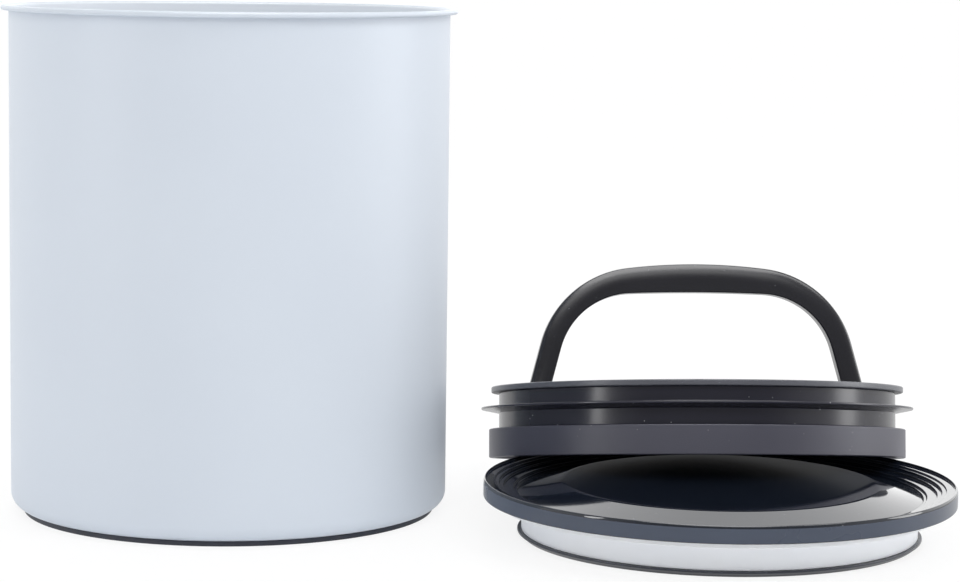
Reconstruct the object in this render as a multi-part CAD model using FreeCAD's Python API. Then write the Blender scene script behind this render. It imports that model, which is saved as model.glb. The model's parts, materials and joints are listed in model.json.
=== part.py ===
import FreeCAD, Part
import math
import os

V = FreeCAD.Vector

# Lengths are in millimetres and angles in degrees. The origin is the centre of the canister's
# underside, +Z is up and +Y points away from the front. The two lids lie beside the canister.

# Canister, spun from steel sheet
canister_height = 200.0
body_radius = 86.7
sheet = 0.7
base_corner = 6.0
rim_overhang = 3.1
rim_bead = 1.0
mouth_bend = 1.2

# Non-slip pad under the canister
pad_inset = 5.0
pad_thickness = 2.0
pad_bevel = 0.4

# Outer lid, a dark moulding whose edge is a channel that caps the rolled rim
rim_clearance = 0.25
lid_skirt_wall = 0.9
lid_height = 21.8
lid_band = 6.8
lid_plate = 1.6
lid_edge_round = 0.4
channel_depth = 4.0
# Steps of the dish, from the lip inwards: distance in from the lid's edge, depth below the lip
dish_steps = ((4.4, 1.0), (6.1, 1.6), (7.9, 2.6), (11.8, 3.6), (13.1, 4.4))
dish_depth = 5.2
disc_inset = 30.5
disc_rise = 4.6

# Pale collar, whose flange sits in a rebate under the outer lid
collar_inset = 14.8
collar_wall = 1.6
collar_flange = 2.8
rebate_inset = 12.0
rebate_depth = 5.5
collar_foot_wall = 3.4

# Dark ring round the collar's foot, held by a tongue
ring_height = 2.3
ring_overhang = 1.6
ring_lip = 0.7
ring_step_width = 1.1
ring_step_height = 0.6
ring_taper = 1.0
tongue_inset = 0.75
tongue_width = 0.8
tongue_height = 1.0

# Inner lid, which slides down inside the canister on a flexible wiper
plunger_height = 29.1
skirt_clearance = 0.5
skirt_height = 11.8
skirt_wall = 2.3
skirt_bevel = 0.5
skirt_ledge_width = 3.4
skirt_ledge = 1.5
ledge_thickness = 1.0
joint_gap = 0.1
neck_inset = 4.1
sleeve_wall = 2.0
cup_wall = 2.5
cup_floor = 2.0
flange_inset = 0.9
flange_thickness = 2.4
flange_round = 0.6
wiper_squeeze = 2.7
wiper_root = 2.6
wiper_tip = 0.5
wiper_height = 19.6
wiper_upturn = 0.6

# Folding handle
handle_rise = 51.0
handle_thickness = 7.5
leg_lean = 15.0
leg_width = 8.8
bar_depth = 11.7
shoulder_outer = 42.0
shoulder_inner = 30.6
crown_outer = 235.0
crown_inner = 670.0
handle_round = 0.8
slope_width = 4.0
slope_depth = 1.7
hub_radius = 5.0
side_clearance = 0.3

# Hinge lugs, pin and the crank shaft that works the valve
lug_thickness = 3.2
lug_wall_gap = 2.0
lug_width = 8.0
pin_radius = 1.75
running_clearance = 0.06
fixed_clearance = 0.02
crank_pin_radius = 1.3
crank_web = 1.5
crank_cheek_margin = 0.3

# Vent valve: the crank shaft lifts the stem when the handle stands up
valve_lift = 2.0
port_radius = 3.5
seat_width = 1.2
seat_height = 0.6
seat_gap = 0.05
seal_radius = 5.3
seal_thickness = 1.6
stem_disc_thickness = 1.0
stem_guide_gap = 0.3
stem_notch_radius = 1.6
stem_nub_radius = 1.3
stem_nub_length = 1.0
yoke_length = 5.0
yoke_side = 1.4
yoke_top_web = 0.9
slot_clearance = 0.15
tower_bore = 7.0
tower_wall = 1.4
bearing_length = 4.5
tower_headroom = 0.9
cap_thickness = 1.6
cap_bevel = 0.5
vent_count = 6
vent_radius = 1.1

# Where the lids lie: the outer lid stands on its ring, and the inner lid leans on it. The gap is the
# room left between rim and outer lid along X, and the shift is how far the inner lid lies left of the
# outer one. The heading turns the way that the inner lid leans from +Y towards -X
outer_lid_gap = 12.15
outer_lid_y = -48.4
inner_lid_shift = 3.1
lean = 10.9
lean_heading = 3.0
lean_gap = 0.3

# Sizes that follow from those above
bore_radius = body_radius - sheet
rim_radius = body_radius + rim_overhang
pad_radius = body_radius - pad_inset
lid_radius = rim_radius + rim_clearance + lid_skirt_wall
outer_lid_x = rim_radius + lid_radius + outer_lid_gap
inner_lid_x = outer_lid_x - inner_lid_shift
lip_inner = lid_radius - lid_skirt_wall
crest_radius = lid_radius - lid_skirt_wall / 2
band_bottom = lid_height - lid_band
locator_radius = bore_radius - rim_clearance
collar_radius = lid_radius - collar_inset
rebate_radius = lid_radius - rebate_inset
rebate_top = lid_height - rebate_depth
disc_radius = lid_radius - disc_inset
dish_floor = lid_height - dish_depth
plate_under = dish_floor - lid_plate
tongue_outer = collar_radius - tongue_inset
skirt_radius = bore_radius - skirt_clearance
skirt_inner = skirt_radius - skirt_wall
neck_radius = skirt_radius - neck_inset
cup_outer = neck_radius - sleeve_wall - joint_gap
cup_radius = cup_outer - cup_wall
flange_radius = skirt_radius - flange_inset
flange_bottom = plunger_height - flange_thickness
wiper_radius = bore_radius + wiper_squeeze
ledge_bottom = skirt_height - ledge_thickness
floor_top = ledge_bottom + cup_floor
lug_outer = cup_radius - lug_wall_gap
hub_outer = lug_outer - lug_thickness - side_clearance
leg_inner = hub_outer - leg_width
hub_inner = leg_inner - lug_width / 2 * math.tan(math.radians(leg_lean))
bearing_face = hub_inner - side_clearance
tower_radius = tower_bore + tower_wall
valve_x = bearing_face - bearing_length - tower_radius
crank_throw = valve_lift / math.sqrt(2)
seat_top = floor_top + seat_height
seal_bottom = seat_top + seat_gap + valve_lift
seal_top = seal_bottom + seal_thickness
crank_cheek_radius = crank_throw + crank_pin_radius + crank_cheek_margin
hinge_height = seal_top + stem_disc_thickness + side_clearance + crank_cheek_radius
slot_height = 2 * (crank_pin_radius + slot_clearance)
slot_bottom = hinge_height + valve_lift / 2 - slot_height / 2
yoke_top = slot_bottom + slot_height + yoke_top_web
tower_top = yoke_top + tower_headroom


def turned(start, *moves):
    """Solid of revolution about Z. A move is a line to (radius, height), or an arc (through, end)."""
    edges = []
    here = start
    for move in moves + (start,):
        if isinstance(move[0], tuple):
            through, end = move
            edges.append(Part.Arc(*[V(r, 0, z) for r, z in (here, through, end)]).toShape())
        else:
            end = move
            edges.append(Part.LineSegment(V(here[0], 0, here[1]), V(end[0], 0, end[1])).toShape())
        here = end
    face = Part.Face(Part.Wire(edges))
    return face.revolve(V(0, 0, 0), V(0, 0, 1), 360)


def on_circle(centre, radius, angle):
    """Point at an angle on a circle in the section plane."""
    turn = math.radians(angle)
    return (centre[0] + radius * math.cos(turn), centre[1] + radius * math.sin(turn))


def rounded(solid, size, *rings):
    """Fillet the circular edges of a turned solid that have the given (radius, height)."""
    edges = []
    for edge in solid.Edges:
        if not isinstance(edge.Curve, Part.Circle):
            continue
        ring = (edge.Curve.Radius, edge.Curve.Center.z)
        if any(math.dist(ring, wanted) < 0.01 for wanted in rings):
            edges.append(edge)
    return solid.makeFillet(size, edges)


def rod(x_from, x_to, radius, y=0.0, z=0.0):
    """Round bar along X."""
    return Part.makeCylinder(radius, x_to - x_from, V(x_from, y, z), V(1, 0, 0))


def slab(x_from, x_to, y_half, z_from, z_to):
    """Block that is centred on the XZ plane."""
    return Part.makeBox(x_to - x_from, 2 * y_half, z_to - z_from, V(x_from, -y_half, z_from))


def canister_shell():
    """Spun body: flat base, straight wall, and a mouth turned out into a rolled rim."""
    base = pad_thickness
    corner = (body_radius - base_corner, base + base_corner)
    bend = (bore_radius + mouth_bend, canister_height - mouth_bend)
    bead = (rim_radius - rim_bead, canister_height - rim_bead)
    lip_under = canister_height - sheet
    rise = lip_under - bead[1]
    bead_start = (bead[0] - math.sqrt(rim_bead ** 2 - rise ** 2), lip_under)
    return turned(
        (0, base),
        (corner[0], base),
        (on_circle(corner, base_corner, -45), (body_radius, corner[1])),
        (body_radius, bend[1]),
        (on_circle(bend, mouth_bend - sheet, 135), (bend[0], lip_under)),
        bead_start,
        (on_circle(bead, rim_bead, -45), (bead[0], canister_height)),
        (bend[0], canister_height),
        (on_circle(bend, mouth_bend, 135), (bore_radius, bend[1])),
        (bore_radius, corner[1]),
        (on_circle(corner, base_corner - sheet, -45), (corner[0], base + sheet)),
        (0, base + sheet))


def base_pad():
    """Flat rubber disc with a bevelled foot."""
    return turned(
        (0, 0),
        (pad_radius - pad_bevel, 0),
        (pad_radius, pad_bevel),
        (pad_radius, pad_thickness),
        (0, pad_thickness))


def outer_lid():
    """Stepped dish with a raised middle, a channel for the canister's rim and a rebate for the collar."""
    dish = [(lip_inner, lid_height)]
    step_from = lip_inner
    for inset, depth in dish_steps:
        step_to = lid_radius - inset
        dish += [(step_from, lid_height - depth), (step_to, lid_height - depth)]
        step_from = step_to
    disc_top = dish_floor + disc_rise
    dish += [(step_from, dish_floor), (disc_radius, disc_top), (0, disc_top)]
    under = [
        (0, disc_top - lid_plate),
        (disc_radius, disc_top - lid_plate),
        (collar_radius - collar_wall, plate_under),
        (rebate_radius, plate_under),
        (rebate_radius, rebate_top)]
    channel_top = band_bottom + channel_depth
    edge = [
        (locator_radius, rebate_top),
        (locator_radius, channel_top),
        (lip_inner, channel_top),
        (lip_inner, band_bottom),
        (lid_radius, band_bottom)]
    lid = turned((lid_radius, lid_height), *dish, *under, *edge)
    return rounded(lid, lid_edge_round, (lid_radius, lid_height), (lip_inner, lid_height),
                   (lid_radius, band_bottom), (disc_radius, disc_top))


def lid_collar():
    """Thin wall with a flange on top, and a thicker foot with a groove for the ring's tongue."""
    wall_inner = collar_radius - collar_wall
    foot_inner = collar_radius - collar_foot_wall
    groove_top = ring_height + tongue_height + joint_gap
    flange_under = rebate_top - collar_flange
    return turned(
        (wall_inner, plate_under),
        (wall_inner, ring_height + collar_foot_wall - collar_wall),
        (foot_inner, ring_height),
        (tongue_outer - tongue_width - joint_gap, ring_height),
        (tongue_outer - tongue_width - joint_gap, groove_top),
        (tongue_outer + joint_gap, groove_top),
        (tongue_outer + joint_gap, ring_height),
        (collar_radius, ring_height),
        (collar_radius, flange_under),
        (locator_radius, flange_under),
        (locator_radius, rebate_top),
        (rebate_radius + joint_gap, rebate_top),
        (rebate_radius + joint_gap, plate_under))


def collar_ring():
    """Soft ring that the outer lid stands on, stepped and tapered towards the floor."""
    outer = collar_radius + ring_overhang
    step_top = ring_height - ring_lip
    waist = outer - ring_step_width
    foot_inner = collar_radius - collar_foot_wall
    tongue_top = ring_height + tongue_height
    return turned(
        (foot_inner, 0),
        (waist - ring_taper, 0),
        (waist, step_top - ring_step_height),
        (outer, step_top),
        (outer, ring_height),
        (tongue_outer, ring_height),
        (tongue_outer, tongue_top),
        (tongue_outer - tongue_width, tongue_top),
        (tongue_outer - tongue_width, ring_height),
        (foot_inner, ring_height))


def hinge_lug(x_from, x_to):
    """Upright ear with a round top, standing on the cup's floor."""
    ear = slab(x_from, x_to, lug_width / 2, floor_top - cup_floor / 2, hinge_height)
    return ear.fuse(rod(x_from, x_to, lug_width / 2, z=hinge_height))


def plunger_body():
    """Cup with a flange round its mouth, hinge ears on its floor and the valve's tower."""
    cup = turned(
        (0, ledge_bottom),
        (skirt_inner - joint_gap, ledge_bottom),
        (skirt_inner - joint_gap, skirt_height),
        (cup_outer, skirt_height),
        (cup_outer, flange_bottom),
        (flange_radius, flange_bottom),
        (flange_radius, plunger_height),
        (cup_radius, plunger_height),
        (cup_radius, floor_top),
        (0, floor_top))
    cup = rounded(cup, flange_round, (flange_radius, plunger_height), (cup_radius, plunger_height))
    centre = V(valve_x, 0, floor_top - cup_floor / 2)
    tower = Part.makeCylinder(tower_radius, tower_top - centre.z, centre)
    ears = [
        hinge_lug(lug_outer - lug_thickness, lug_outer),
        hinge_lug(-lug_outer, lug_thickness - lug_outer),
        hinge_lug(-bearing_face, lug_thickness - bearing_face),
        hinge_lug(valve_x + tower_bore, bearing_face)]
    bore = Part.makeCylinder(tower_bore, plunger_height, V(valve_x, 0, floor_top))
    cap_room = Part.makeCylinder(tower_radius + side_clearance, plunger_height, V(valve_x, 0, tower_top))
    seat = Part.makeCylinder(port_radius + seat_width, seat_top - centre.z, centre)
    port = Part.makeCylinder(port_radius, plunger_height, V(valve_x, 0, 0))
    fixed_hole = rod(-lug_outer, -valve_x, pin_radius + fixed_clearance, z=hinge_height)
    bearing_hole = rod(valve_x, lug_outer, pin_radius + running_clearance, z=hinge_height)
    body = cup.fuse([tower] + ears)
    body = body.cut([bore, cap_room]).fuse(seat)
    return body.cut([port, fixed_hole, bearing_hole]).removeSplitter()


def plunger_skirt():
    """Ring round the foot of the inner lid, with a ledge inside that the cup sits on."""
    ledge_inner = skirt_inner - skirt_ledge_width
    return turned(
        (skirt_inner, 0),
        (skirt_radius - skirt_bevel, 0),
        (skirt_radius, skirt_bevel),
        (skirt_radius, skirt_height - skirt_bevel),
        (skirt_radius - skirt_bevel, skirt_height),
        (skirt_inner, skirt_height),
        (skirt_inner, ledge_bottom),
        (ledge_inner, ledge_bottom),
        (ledge_inner, ledge_bottom - skirt_ledge),
        (skirt_inner, ledge_bottom - skirt_ledge))


def wiper_seal():
    """Silicone sleeve between skirt and flange, with one thin fin that rubs on the canister's wall."""
    sleeve_inner = neck_radius - sleeve_wall
    tip = wiper_height + wiper_upturn
    return turned(
        (sleeve_inner, skirt_height),
        (neck_radius, skirt_height),
        (neck_radius, wiper_height - wiper_root / 2),
        (wiper_radius, tip - wiper_tip / 2),
        (wiper_radius, tip + wiper_tip / 2),
        (neck_radius, wiper_height + wiper_root / 2),
        (neck_radius, flange_bottom),
        (sleeve_inner, flange_bottom))


def arch(foot_x, apex, shoulder, crown):
    """Edges of an arch from foot to foot: leaning leg, shoulder arc, slightly crowned top, and back."""
    turn = math.radians(leg_lean)
    along = (-math.sin(turn), math.cos(turn))
    inward = (-math.cos(turn), -math.sin(turn))
    crown_z = apex - crown
    # The shoulder's centre keeps its radius from the leg, and touches the crown's circle from inside
    offset = (foot_x + shoulder * inward[0], hinge_height + shoulder * inward[1] - crown_z)
    half = offset[0] * along[0] + offset[1] * along[1]
    rest = offset[0] ** 2 + offset[1] ** 2 - (crown - shoulder) ** 2
    run = -half + math.sqrt(half ** 2 - rest)
    centre = (offset[0] + run * along[0], offset[1] + run * along[1] + crown_z)
    crown_angle = math.degrees(math.atan2(centre[1] - crown_z, centre[0]))
    leg_top = on_circle(centre, shoulder, leg_lean)
    shoulder_mid = on_circle(centre, shoulder, (leg_lean + crown_angle) / 2)
    shoulder_end = on_circle(centre, shoulder, crown_angle)
    right = [(foot_x, hinge_height), leg_top, shoulder_mid, shoulder_end]
    points = [V(x, 0, z) for x, z in right]
    mirrored = [V(-x, 0, z) for x, z in right]
    return [
        Part.LineSegment(points[0], points[1]).toShape(),
        Part.Arc(points[1], points[2], points[3]).toShape(),
        Part.Arc(points[3], V(0, 0, apex), mirrored[3]).toShape(),
        Part.Arc(mirrored[3], mirrored[2], mirrored[1]).toShape(),
        Part.LineSegment(mirrored[1], mirrored[0]).toShape()]


def crest_outline(inset, y):
    """Closed wire of the arch's outer side, set in by a distance, at a depth."""
    foot_x = hub_outer - inset / math.cos(math.radians(leg_lean))
    edges = arch(foot_x, plunger_height + handle_rise - inset, shoulder_outer - inset, crown_outer - inset)
    edges.append(Part.LineSegment(V(-foot_x, 0, hinge_height), V(foot_x, 0, hinge_height)).toShape())
    wire = Part.Wire(Part.__sortEdges__(edges))
    wire.translate(V(0, y, 0))
    return wire


def handle():
    """Arched grip whose front slopes away to its outer side, with soft edges and a hub at each foot."""
    top = plunger_height + handle_rise
    front = -handle_thickness / 2
    edges = arch(hub_outer, top, shoulder_outer, crown_outer)
    edges += arch(leg_inner, top - bar_depth, shoulder_inner, crown_inner)
    for side in (-1, 1):
        foot = [V(side * x, 0, hinge_height) for x in (leg_inner, hub_outer)]
        edges.append(Part.LineSegment(*foot).toShape())
    face = Part.Face(Part.Wire(Part.__sortEdges__(edges)))
    face.translate(V(0, front, 0))
    grip = face.extrude(V(0, handle_thickness, 0))
    # The slope is carried on past the outer side, so that it cuts that side cleanly
    slope = Part.makeLoft([
        crest_outline(slope_width, front),
        crest_outline(-slope_width, front + 2 * slope_depth),
        crest_outline(-slope_width, handle_thickness)], True, True)
    grip = grip.common(slope)
    soft = [edge for edge in grip.Edges
            if edge.BoundBox.YLength < 0.01 and edge.BoundBox.ZMax > hinge_height + 1]
    grip = grip.makeFillet(handle_round, soft)
    for x_from, x_to in ((hub_inner, hub_outer), (-hub_outer, -hub_inner)):
        grip = grip.fuse(rod(x_from, x_to, hub_radius, z=hinge_height))
    running_hole = rod(-lug_outer, 0, pin_radius + running_clearance, z=hinge_height)
    fixed_hole = rod(0, lug_outer, pin_radius + fixed_clearance, z=hinge_height)
    return grip.cut([running_hole, fixed_hole])


def hinge_pin():
    """Plain pin through the two ears and the hub on the side without the valve."""
    return rod(-lug_outer, lug_thickness - bearing_face, pin_radius, z=hinge_height)


def valve_shaft():
    """Pin that turns with the handle and ends in a crank inside the valve's tower."""
    throw = crank_throw / math.sqrt(2)
    yoke_end = valve_x + yoke_length / 2 + side_clearance
    shaft = rod(yoke_end + crank_web, lug_outer, pin_radius, z=hinge_height)
    cheek = rod(yoke_end, yoke_end + crank_web, crank_cheek_radius, z=hinge_height)
    crank = rod(valve_x - yoke_length / 2, yoke_end, crank_pin_radius, throw, hinge_height + throw)
    return shaft.fuse([cheek, crank])


def valve_stem():
    """Guided disc with a slotted yoke on top for the crank and a nub below that holds the seal."""
    axis = V(valve_x, 0, seal_top)
    disc = Part.makeCylinder(tower_bore - stem_guide_gap, stem_disc_thickness, axis)
    nub_length = seal_thickness + stem_nub_length
    nub = Part.makeCylinder(stem_nub_radius, nub_length, axis - V(0, 0, nub_length))
    slot_half = crank_throw + crank_pin_radius + slot_clearance
    yoke = slab(valve_x - yoke_length / 2, valve_x + yoke_length / 2, slot_half + yoke_side,
                seal_top + stem_disc_thickness / 2, yoke_top)
    slot = slab(0, cup_radius, slot_half, slot_bottom, slot_bottom + slot_height)
    notches = []
    for side in (-1, 1):
        centre = axis + V(0, side * (tower_bore - stem_guide_gap), 0)
        notches.append(Part.makeCylinder(stem_notch_radius, stem_disc_thickness, centre))
    return disc.cut(notches).fuse([nub, yoke]).cut(slot).removeSplitter()


def valve_seal():
    """Silicone washer that closes the port."""
    axis = V(valve_x, 0, seal_bottom)
    washer = Part.makeCylinder(seal_radius, seal_thickness, axis)
    return washer.cut(Part.makeCylinder(stem_nub_radius + fixed_clearance, seal_thickness, axis))


def valve_cap():
    """Cover on the tower, with a ring of vent holes."""
    cap = Part.makeCylinder(tower_radius, cap_thickness, V(valve_x, 0, tower_top))
    top_edge = [edge for edge in cap.Edges if edge.BoundBox.ZMin > tower_top + cap_thickness / 2]
    cap = cap.makeChamfer(cap_bevel, top_edge)
    holes = []
    for index in range(vent_count):
        x, y = on_circle((valve_x, 0), tower_bore / 2, 360 / vent_count * index)
        holes.append(Part.makeCylinder(vent_radius, cap_thickness, V(x, y, tower_top)))
    return cap.cut(holes)


def leaning_place():
    """Place of the inner lid: its skirt's back edge on the floor, its inner edge on the outer lid's lip."""
    tilt = math.radians(lean)
    turn = FreeCAD.Rotation(V(0, 0, 1), lean_heading)
    lid_z = (skirt_radius - skirt_bevel) * math.sin(tilt)
    reach = (lid_height + lean_gap - lid_z) / math.tan(tilt)
    half_span = math.sqrt(skirt_inner ** 2 - (reach / math.cos(tilt)) ** 2)
    distances = []
    for side in (-1, 1):
        contact = turn.multVec(V(side * half_span, -reach, 0))
        across = inner_lid_x + contact.x - outer_lid_x
        distances.append(math.sqrt(crest_radius ** 2 - across ** 2) - contact.y)
    place = V(inner_lid_x, outer_lid_y + max(distances), lid_z)
    return FreeCAD.Placement(place, turn.multiply(FreeCAD.Rotation(V(1, 0, 0), -lean)))


def main():
    upright = FreeCAD.Placement()
    standing = FreeCAD.Placement(V(outer_lid_x, outer_lid_y, 0), FreeCAD.Rotation())
    leaning = leaning_place()
    nodes = {
        "canister_shell": (canister_shell(), upright),
        "base_pad": (base_pad(), upright),
        "outer_lid": (outer_lid(), standing),
        "lid_collar": (lid_collar(), standing),
        "collar_ring": (collar_ring(), standing),
        "plunger_body": (plunger_body(), leaning),
        "plunger_skirt": (plunger_skirt(), leaning),
        "wiper_seal": (wiper_seal(), leaning),
        "handle": (handle(), leaning),
        "hinge_pin": (hinge_pin(), leaning),
        "valve_shaft": (valve_shaft(), leaning),
        "valve_stem": (valve_stem(), leaning),
        "valve_seal": (valve_seal(), leaning),
        "valve_cap": (valve_cap(), leaning)}
    os.makedirs("parts", exist_ok=True)
    for name, (shape, place) in nodes.items():
        shape.transformShape(place.toMatrix())
        solids = shape.Solids
        print(f"{name}: solids {len(solids)}, valid {shape.isValid()}, volume {shape.Volume / 1000:.2f} cm3")
        shape.exportStep(f"parts/{name}.step")
    hinge = leaning.multVec(V(0, 0, hinge_height))
    axis = leaning.Rotation.multVec(V(0, 0, 1))
    across = leaning.Rotation.multVec(V(1, 0, 0))
    print(f"handle hinge passes through {hinge.x:.4f}, {hinge.y:.4f}, {hinge.z:.4f}")
    print(f"along {across.x:.6f}, {across.y:.6f}, {across.z:.6f}")
    print(f"inner lid stands at {leaning.Base.x:.4f}, {leaning.Base.y:.4f}, {leaning.Base.z:.4f}")
    print(f"inner lid axis {axis.x:.6f}, {axis.y:.6f}, {axis.z:.6f}")
    print(f"mouth bore radius {bore_radius:.3f}, from {pad_thickness + base_corner:.3f}"
          f" to {canister_height - mouth_bend:.3f}")


main()
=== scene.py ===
# %% [markdown]
# # Coffee canister with a vented inner lid
# The object is a spun steel canister, standing beside its two lids. The dark outer lid lies on the
# table on its pale collar, and the inner lid, with its folding handle, leans on the outer lid's rim.
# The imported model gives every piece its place, so each mesh made here is modelled to sizes in
# millimetres and is then set down where that model says.

# %% Load the frame
import json
import math

import bpy
from mathutils import Matrix, Vector


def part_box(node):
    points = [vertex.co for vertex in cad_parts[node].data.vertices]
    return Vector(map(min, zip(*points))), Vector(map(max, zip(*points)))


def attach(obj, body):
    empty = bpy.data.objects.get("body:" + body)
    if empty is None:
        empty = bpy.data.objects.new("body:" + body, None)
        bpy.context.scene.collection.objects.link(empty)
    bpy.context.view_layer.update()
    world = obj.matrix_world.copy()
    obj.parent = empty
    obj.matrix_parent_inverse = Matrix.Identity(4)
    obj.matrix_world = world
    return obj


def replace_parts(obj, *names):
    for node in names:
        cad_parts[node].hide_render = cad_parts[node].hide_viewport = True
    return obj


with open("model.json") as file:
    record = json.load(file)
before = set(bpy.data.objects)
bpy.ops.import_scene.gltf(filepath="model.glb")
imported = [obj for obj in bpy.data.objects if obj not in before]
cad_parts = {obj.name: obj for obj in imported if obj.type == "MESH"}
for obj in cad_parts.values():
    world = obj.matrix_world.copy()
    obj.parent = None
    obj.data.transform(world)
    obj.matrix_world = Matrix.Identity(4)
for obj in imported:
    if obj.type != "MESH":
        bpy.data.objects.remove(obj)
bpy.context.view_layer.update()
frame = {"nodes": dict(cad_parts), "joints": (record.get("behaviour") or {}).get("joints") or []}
scene = bpy.context.scene
scene.view_settings.view_transform = "Standard"
joints = {joint["name"]: joint for joint in frame["joints"]}

# %% [markdown]
# ## Places read from the frame
# The inner lid leans, so it is modelled upright at the origin, then tipped back and turned a little.
# Its axis is the line that the valve travels on, and its foot lies half the skirt's height below the
# skirt's middle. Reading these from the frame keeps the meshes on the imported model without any
# fitting by eye.

# %% Where the lids lie
MM = 0.001
SKIRT_HEIGHT = 11.8


def middle(node):
    """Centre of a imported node's box, in metres."""
    low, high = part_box(node)
    return (low + high) / 2


lid_axis = -Vector(joints["valve_travel"]["axis"])
lean = math.atan2(lid_axis.xy.length, lid_axis.z)
heading = math.atan2(-lid_axis.x, lid_axis.y)
inner_foot = middle("plunger_skirt") - lid_axis * SKIRT_HEIGHT / 2 * MM
hinge_height = (Vector(joints["handle_fold"]["pos_m"]) - inner_foot).dot(lid_axis) / MM
outer_foot = middle("collar_ring")
outer_foot.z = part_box("collar_ring")[0].z
print(f"inner lid leans {math.degrees(lean):.2f} degrees, its hinge is {hinge_height:.2f} mm up")

# %% [markdown]
# ## Camera
# The photograph was taken from far away with a long lens, a little above the canister's rim, so the
# sides stay nearly parallel and only a sliver of the mouth shows. The focal length is worked out in
# pixels and turned into millimetres on a 36 mm sensor. A slight roll follows the picture's own tilt.
# The pitch, downwards, and the roll are in radians.

# %% Set the camera
PICTURE_WIDTH_PX = 960
FOCAL_PX = 2992.0
SENSOR_MM = 36.0
CAMERA_AT_MM = (99.71, -1184.97, 228.09)
CAMERA_PITCH = 0.1175
CAMERA_ROLL = 0.0126

camera_data = bpy.data.cameras.new("camera")
camera_data.sensor_width = SENSOR_MM
camera_data.lens = SENSOR_MM * FOCAL_PX / PICTURE_WIDTH_PX
camera = bpy.data.objects.new("camera", camera_data)
camera.location = Vector(CAMERA_AT_MM) * MM
nod = Matrix.Rotation(math.pi / 2 - CAMERA_PITCH, 3, "X")
camera.rotation_euler = (nod @ Matrix.Rotation(CAMERA_ROLL, 3, "Z")).to_euler()
scene.collection.objects.link(camera)
scene.camera = camera
print(f"lens {camera_data.lens:.1f} mm")

# %% [markdown]
# ## Turning a section
# Nearly every piece here is round, as if made on a lathe. In edit mode a single vertex is extruded
# from corner to corner of the half section, and Spin sweeps that line round the axis. Merging the
# doubles closes the seam and the pole, and only then are the normals recalculated.

# %% Line helpers
MERGE = 0.001 * MM


def arc(centre, radius, start, end, count):
    """Points of an arc in the section plane, angles in degrees from the outward direction."""
    points = []
    for index in range(count + 1):
        turn = math.radians(start + (end - start) * index / count)
        points.append((centre[0] + radius * math.cos(turn), centre[1] + radius * math.sin(turn)))
    return points


def draw_line(points):
    """Start a mesh in edit mode and extrude one vertex from point to point, in millimetres."""
    bpy.ops.object.select_all(action="DESELECT")
    bpy.ops.mesh.primitive_plane_add(size=MM, location=(0, 0, 0))
    bpy.ops.object.mode_set(mode="EDIT")
    bpy.ops.mesh.select_mode(type="VERT")
    bpy.ops.mesh.merge(type="CENTER")
    bpy.ops.transform.translate(value=Vector(points[0]) * MM)
    for here, there in zip(points, points[1:]):
        step = (Vector(there) - Vector(here)) * MM
        bpy.ops.mesh.extrude_vertices_move(TRANSFORM_OT_translate={"value": step})
    bpy.ops.mesh.select_all(action="SELECT")


def pick(piece):
    """Make a piece the active one, and the only one selected."""
    bpy.ops.object.select_all(action="DESELECT")
    piece.select_set(True)
    bpy.context.view_layer.objects.active = piece


def close_up(name):
    """Merge doubles, turn all faces outwards, leave edit mode and name the piece."""
    bpy.ops.mesh.select_all(action="SELECT")
    bpy.ops.mesh.remove_doubles(threshold=MERGE)
    bpy.ops.mesh.normals_make_consistent(inside=False)
    bpy.ops.object.mode_set(mode="OBJECT")
    piece = bpy.context.object
    piece.name = name
    piece.data.name = name
    return piece


print(f"doubles merge within {MERGE / MM:.3f} mm")

# %% [markdown]
# ## Softening and setting down
# A bevel that looks only at sharp edges gives each corner the small radius that a mould or a die
# leaves, and weighted normals let the flats beside it reflect as flats. A finished piece is tipped,
# turned and moved, and all of it is applied, so that the piece's place is in its mesh.

# %% Lathe helpers
SPIN_STEPS = 256
SHARP = math.radians(30)
FLAT_WEIGHT = 80


def soften(piece, width_mm, segments=3):
    """Bevel the sharp edges, if a width is given, and shade the rest smoothly."""
    pick(piece)
    if width_mm:
        bpy.ops.object.modifier_add(type="BEVEL")
        bevel = piece.modifiers[-1]
        bevel.limit_method = "ANGLE"
        bevel.angle_limit = SHARP
        bevel.width = width_mm * MM
        bevel.segments = segments
        bpy.ops.object.modifier_apply(modifier=bevel.name)
    bpy.ops.object.shade_smooth_by_angle(angle=SHARP)
    bpy.ops.object.modifier_add(type="WEIGHTED_NORMAL")
    weighted = piece.modifiers[-1]
    weighted.weight = FLAT_WEIGHT
    weighted.keep_sharp = True
    bpy.ops.object.modifier_apply(modifier=weighted.name)
    return piece


def turned(name, section, bevel_mm=0.0):
    """Spin a half section of (radius, height) corners about the Z axis."""
    draw_line([(radius, 0, height) for radius, height in section])
    bpy.ops.mesh.spin(steps=SPIN_STEPS, angle=math.tau, center=(0, 0, 0), axis=(0, 0, 1))
    return soften(close_up(name), bevel_mm)


def set_down(piece, foot, tip=0.0, turn=0.0):
    """Tip and turn a piece, move it to its foot and apply it all, so that its place is in its mesh."""
    pick(piece)
    piece.rotation_euler = (-tip, 0, turn)
    piece.location = foot
    bpy.ops.object.transform_apply(location=True, rotation=True, scale=True)
    print(f"{piece.name}: {len(piece.data.polygons)} faces")
    return piece


print(f"each step of a spin turns {360 / SPIN_STEPS:.2f} degrees")

# %% [markdown]
# ## Plates, bars and joining
# What isn't round is a plate: an outline is drawn as one line, filled and extruded. Ears, hubs and
# holes are then joined to a piece or cut from it with Boolean modifiers, as they are in the mould.

# %% Plate, bar and Boolean helpers
BAR_SIDES = 64


def plate(name, outline, along):
    """Fill an outline of points in millimetres and extrude it."""
    draw_line(list(outline) + [outline[0]])
    bpy.ops.mesh.remove_doubles(threshold=MERGE)
    bpy.ops.mesh.edge_face_add()
    bpy.ops.mesh.extrude_region_move(TRANSFORM_OT_translate={"value": Vector(along) * MM})
    return close_up(name)


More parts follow.
